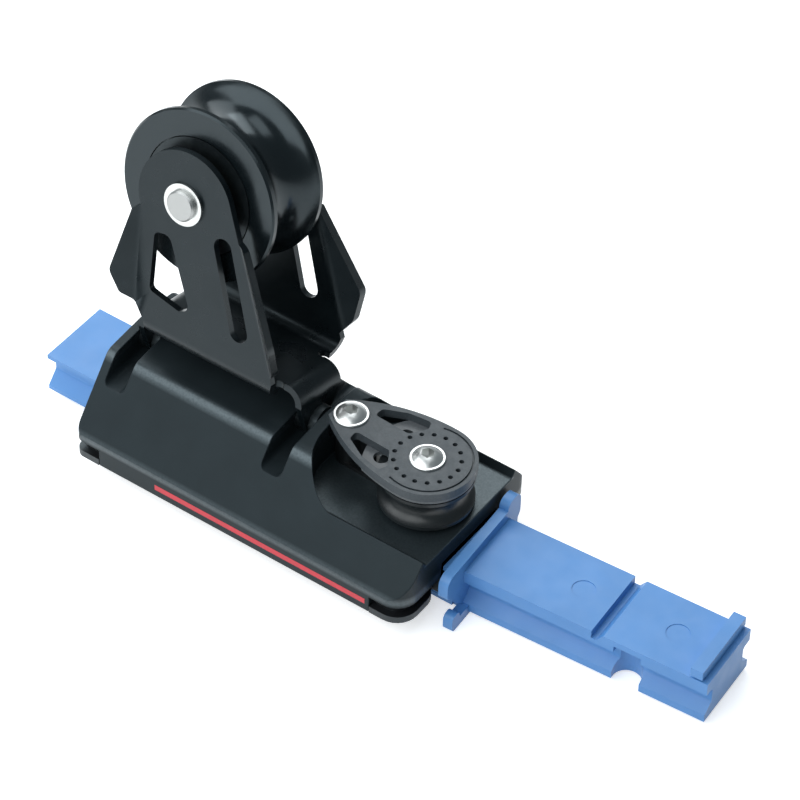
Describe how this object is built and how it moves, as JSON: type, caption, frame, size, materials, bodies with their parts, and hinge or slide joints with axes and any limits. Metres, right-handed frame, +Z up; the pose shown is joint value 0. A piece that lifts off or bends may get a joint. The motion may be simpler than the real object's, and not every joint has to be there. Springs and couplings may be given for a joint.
{
  "type": "genoa car",
  "caption": "Track car for a headsail sheet: black car body, tilting sheave housing with a large sheave, a low control-line block and a blue loader in its channel.",
  "frame": {"origin": "centre line of the car, half-way along the car body, in the plane of the loader's lowest rib", "axes": "+X along the track from the tilting housing towards the control block, +Y away from the side the housing leans from, +Z up"},
  "size_m": [0.3239, 0.0944, 0.1718],
  "materials": {
    "black_anodised": "satin",
    "stainless_steel": "polished",
    "black_plastic": "satin",
    "grey_composite": "matte",
    "bearing_plastic": "satin",
    "blue_plastic": "semi-gloss"
  },
  "bodies": {
    "car": {"car_body": "black_anodised", "far_right_end_cap": "black_plastic", "near_right_end_cap": "black_plastic", "far_left_end_cap": "black_plastic", "near_left_end_cap": "black_plastic", "near_load_balls": "bearing_plastic", "far_load_balls": "bearing_plastic", "hinge_pin": "stainless_steel", "left_outer_hinge_washer": "bearing_plastic", "left_inner_hinge_washer": "bearing_plastic", "right_outer_hinge_washer": "bearing_plastic", "right_inner_hinge_washer": "bearing_plastic", "control_base": "black_plastic", "control_hub": "grey_composite", "control_rollers": "bearing_plastic", "control_inner_plate": "grey_composite", "control_cover": "grey_composite", "hub_screw": "stainless_steel", "tip_screw": "stainless_steel"},
    "housing": {"sheave_housing": "black_anodised", "main_axle": "stainless_steel", "main_inner_race": "stainless_steel", "near_axle_clip": "stainless_steel", "far_axle_clip": "stainless_steel", "near_side_spacer": "bearing_plastic", "far_side_spacer": "bearing_plastic", "main_rollers": "bearing_plastic"},
    "main_sheave": {"main_sheave": "black_anodised", "near_bearing_cap": "black_plastic", "far_bearing_cap": "black_plastic"},
    "control_sheave": {"control_sheave": "black_plastic"},
    "loader": {"loader": "blue_plastic"}
  },
  "joints": [
    {"name": "housing_tilt", "type": "hinge", "parent": "car", "child": "housing", "pos_m": [-0.03425, 0, 0.048], "axis": [1, 0, 0], "range_deg": [-22.5, 47.5]},
    {"name": "main_sheave_spin", "type": "hinge", "parent": "housing", "child": "main_sheave", "pos_m": [-0.054, 0.01853, 0.13157], "axis": [0, 0.9763, -0.2164], "continuous": true},
    {"name": "control_sheave_spin", "type": "hinge", "parent": "car", "child": "control_sheave", "pos_m": [0.0625, 0, 0.0442], "axis": [0, 0, 1], "continuous": true},
    {"name": "loader_slide", "type": "slide", "parent": "car", "child": "loader", "axis": [1, 0, 0], "range_m": [0, 0.2]}
  ]
}
